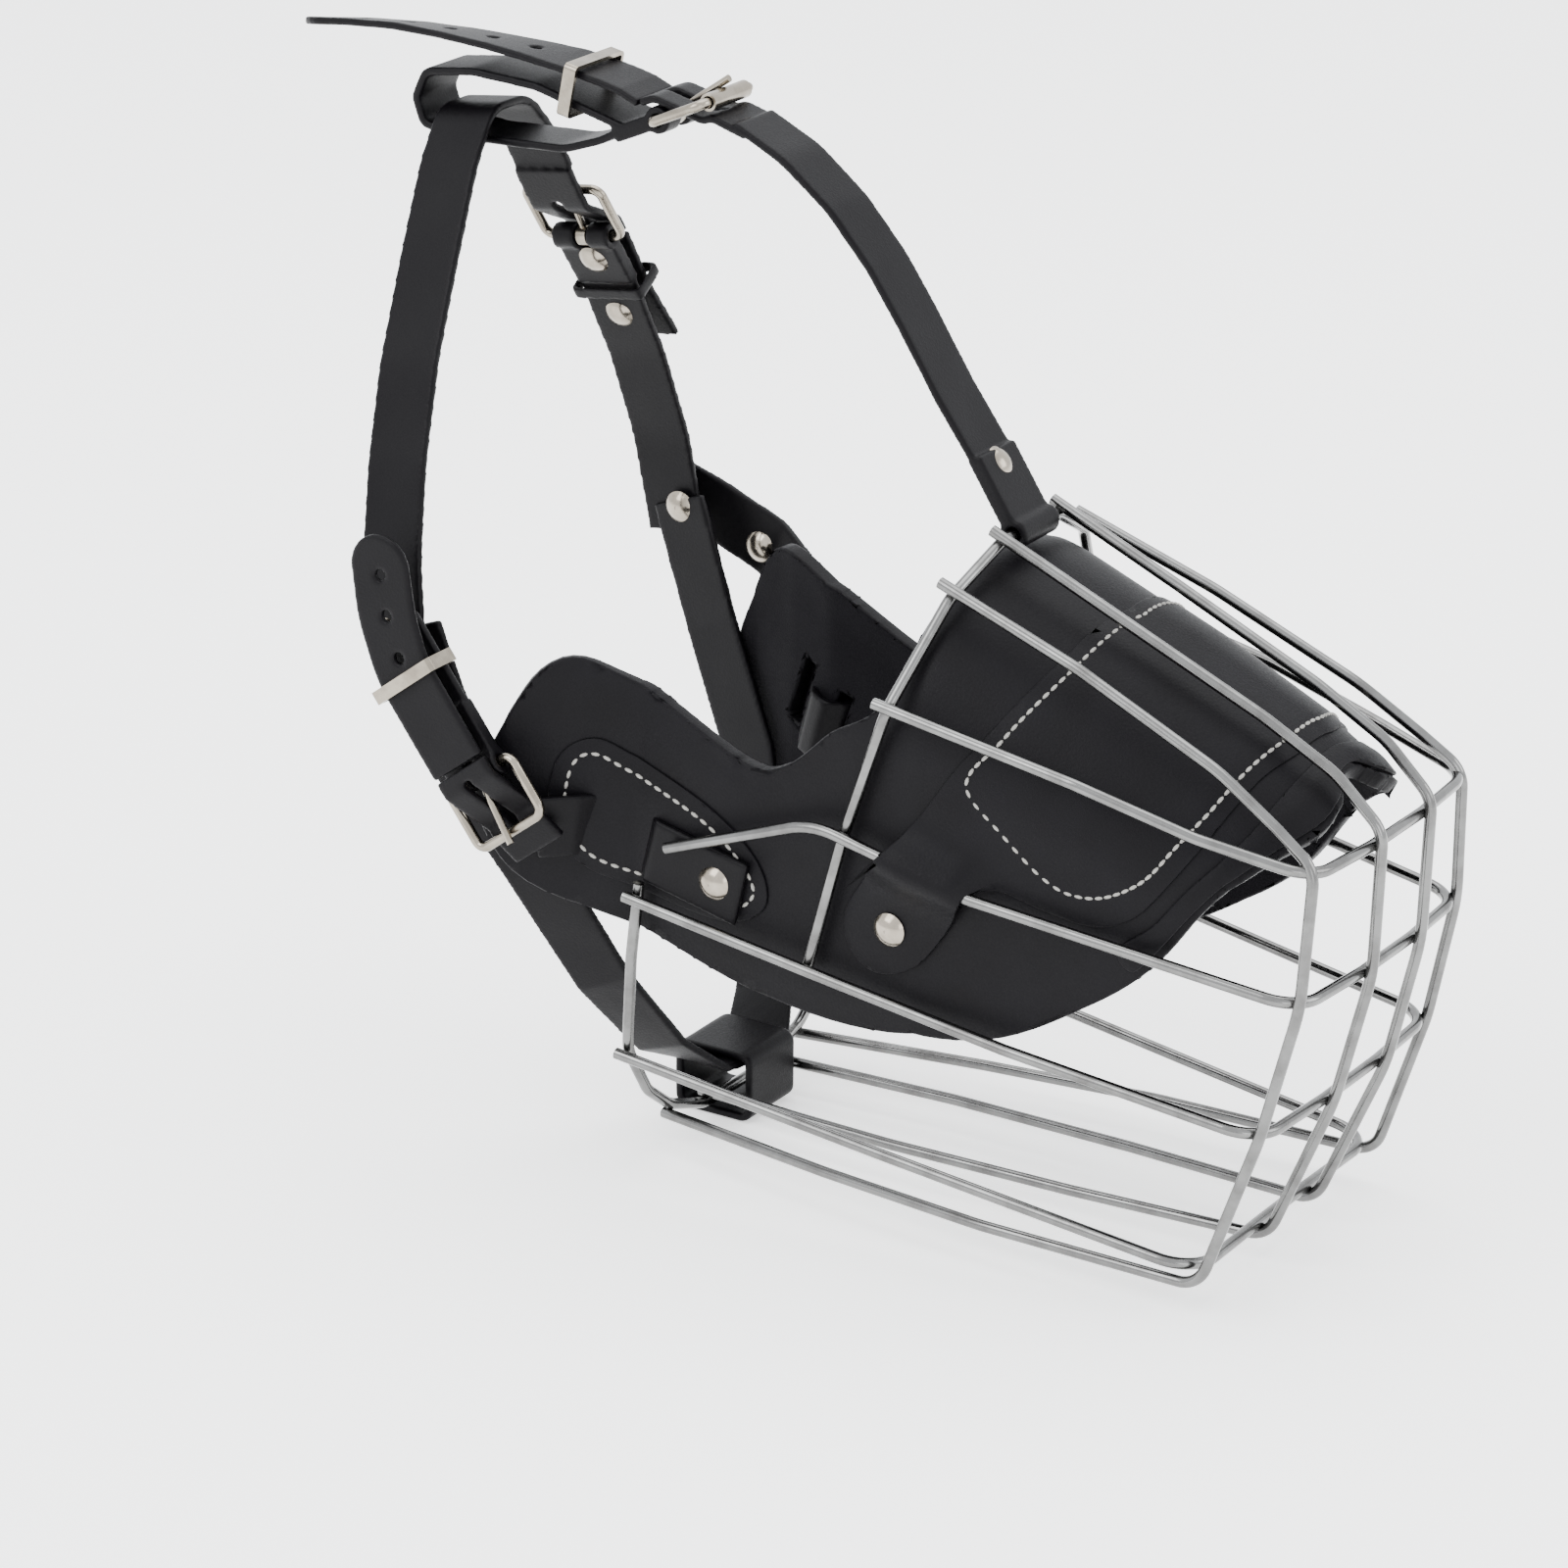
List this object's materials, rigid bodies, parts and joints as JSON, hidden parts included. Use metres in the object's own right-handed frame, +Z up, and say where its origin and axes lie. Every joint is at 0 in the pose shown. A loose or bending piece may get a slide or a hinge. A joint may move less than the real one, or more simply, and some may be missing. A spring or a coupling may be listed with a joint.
{
  "type": "basket muzzle",
  "caption": "Wire basket dog muzzle with a padded leather nose pad, cheek wings and a leather head harness closed by small nickel buckles.",
  "frame": {"origin": "middle of the cage's floor at its front, under the chin", "axes": "+X towards the nose end of the cage, +Y to the dog's left, +Z up"},
  "size_m": [0.3704, 0.1747, 0.3186],
  "materials": {
    "plated_wire": "bright plated, slightly worn",
    "pad_leather": "smooth finished leather, semi-matte",
    "lining_felt": "soft suede lining, matte",
    "strap_leather": "smooth bridle leather, semi-gloss with burnished edges",
    "nickel_hardware": "nickel plated, polished",
    "rivet_nickel": "nickel plated, domed and polished"
  },
  "bodies": {
    "cage": {"muzzle_hoop_1": "plated_wire", "muzzle_hoop_2": "plated_wire", "muzzle_hoop_3": "plated_wire", "muzzle_hoop_4": "plated_wire", "right_outer_wire": "plated_wire", "left_outer_wire": "plated_wire", "right_inner_wire": "plated_wire", "left_inner_wire": "plated_wire", "nose_arch_wire": "plated_wire", "chin_wire": "plated_wire", "nose_pad": "pad_leather", "pad_lining": "lining_felt", "nose_patch": "pad_leather", "front_border": "pad_leather", "right_wing_patch": "pad_leather", "left_wing_patch": "pad_leather", "right_wire_flap": "pad_leather", "left_wire_flap": "pad_leather", "flap_rivets": "rivet_nickel", "tab_rivets": "rivet_nickel", "right_cheek_tab": "strap_leather", "left_cheek_tab": "strap_leather"},
    "head_harness": {"neck_strap": "strap_leather", "left_buckle_strap": "strap_leather", "right_buckle_strap": "strap_leather", "left_cheek_strap": "strap_leather", "throat_strap": "strap_leather", "throat_loop": "strap_leather", "joint_rivets": "rivet_nickel"},
    "crown_strap": {"crown_strap": "strap_leather", "crown_loop": "strap_leather", "crown_rivet": "rivet_nickel"},
    "crown_tail": {"crown_tail": "strap_leather"},
    "neck_tail": {"neck_tail": "strap_leather"},
    "cheek_tail": {"cheek_tail": "strap_leather"},
    "crown_buckle": {"crown_buckle_frame": "nickel_hardware"},
    "neck_buckle": {"neck_buckle_frame": "nickel_hardware"},
    "cheek_buckle": {"cheek_buckle_frame": "nickel_hardware"},
    "crown_tongue": {"crown_tongue": "nickel_hardware"},
    "neck_tongue": {"neck_tongue": "nickel_hardware"},
    "cheek_tongue": {"cheek_tongue": "nickel_hardware"},
    "crown_roller": {"crown_roller": "nickel_hardware"},
    "crown_keeper": {"crown_keeper": "nickel_hardware"},
    "neck_keeper": {"neck_keeper": "strap_leather"},
    "cheek_keeper": {"cheek_keeper": "nickel_hardware"}
  },
  "joints": [
    {"name": "harness_swing", "type": "hinge", "parent": "cage", "child": "head_harness", "pos_m": [-0.207, 0, 0.113], "axis": [0, 1, 0], "range_deg": [-0.4, 0.4]},
    {"name": "crown_swing", "type": "hinge", "parent": "cage", "child": "crown_strap", "pos_m": [-0.0885, 0, 0.193], "axis": [0, 1, 0], "range_deg": [-1, 0.15]},
    {"name": "crown_frame_tilt", "type": "hinge", "parent": "crown_strap", "child": "crown_buckle", "pos_m": [-0.208, 0, 0.295], "axis": [0, -1, 0], "range_deg": [0, 12]},
    {"name": "crown_tongue_lift", "type": "hinge", "parent": "crown_buckle", "child": "crown_tongue", "pos_m": [-0.208, 0, 0.295], "axis": [0, -1, 0], "range_deg": [0, 40]},
    {"name": "neck_frame_tilt", "type": "hinge", "parent": "head_harness", "child": "neck_buckle", "pos_m": [-0.26779, 0.0427, 0.23993], "axis": [-0.9915, 0, -0.13], "range_deg": [0, 12]},
    {"name": "neck_tongue_lift", "type": "hinge", "parent": "neck_buckle", "child": "neck_tongue", "pos_m": [-0.26779, 0.0427, 0.23993], "axis": [-0.9915, 0, -0.13], "range_deg": [0, 40]},
    {"name": "cheek_frame_tilt", "type": "hinge", "parent": "head_harness", "child": "cheek_buckle", "pos_m": [-0.2234, -0.0788, 0.1152], "axis": [-0.8, 0, -0.6], "range_deg": [0, 12]},
    {"name": "cheek_tongue_lift", "type": "hinge", "parent": "cheek_buckle", "child": "cheek_tongue", "pos_m": [-0.2234, -0.0788, 0.1152], "axis": [-0.8, 0, -0.6], "range_deg": [0, 40]},
    {"name": "crown_roller_spin", "type": "hinge", "parent": "crown_buckle", "child": "crown_roller", "pos_m": [-0.19064, 0, 0.30271], "axis": [0, 1, 0], "continuous": true},
    {"name": "crown_keeper_slide", "type": "slide", "parent": "crown_strap", "child": "crown_keeper", "axis": [0.9806, 0, -0.1961], "range_m": [-0.003, 0.003]},
    {"name": "neck_keeper_slide", "type": "slide", "parent": "head_harness", "child": "neck_keeper", "axis": [-0.1118, -0.5101, 0.8528], "range_m": [-0.002, 0.002]},
    {"name": "cheek_keeper_slide", "type": "slide", "parent": "head_harness", "child": "cheek_keeper", "axis": [0.6, 0, -0.8], "range_m": [-0.002, 0.002]},
    {"name": "crown_tail_flex", "type": "hinge", "parent": "crown_strap", "child": "crown_tail", "pos_m": [-0.2145, 0, 0.3], "axis": [0, 1, 0], "range_deg": [0, 2]},
    {"name": "neck_tail_flex", "type": "hinge", "parent": "head_harness", "child": "neck_tail", "pos_m": [-0.26771, 0.05046, 0.2393], "axis": [0.9915, 0, 0.13], "range_deg": [0, 2]},
    {"name": "cheek_tail_flex", "type": "hinge", "parent": "head_harness", "child": "cheek_tail", "pos_m": [-0.2261, -0.08515, 0.1188], "axis": [0.8, 0, 0.6], "range_deg": [0, 1]}
  ]
}
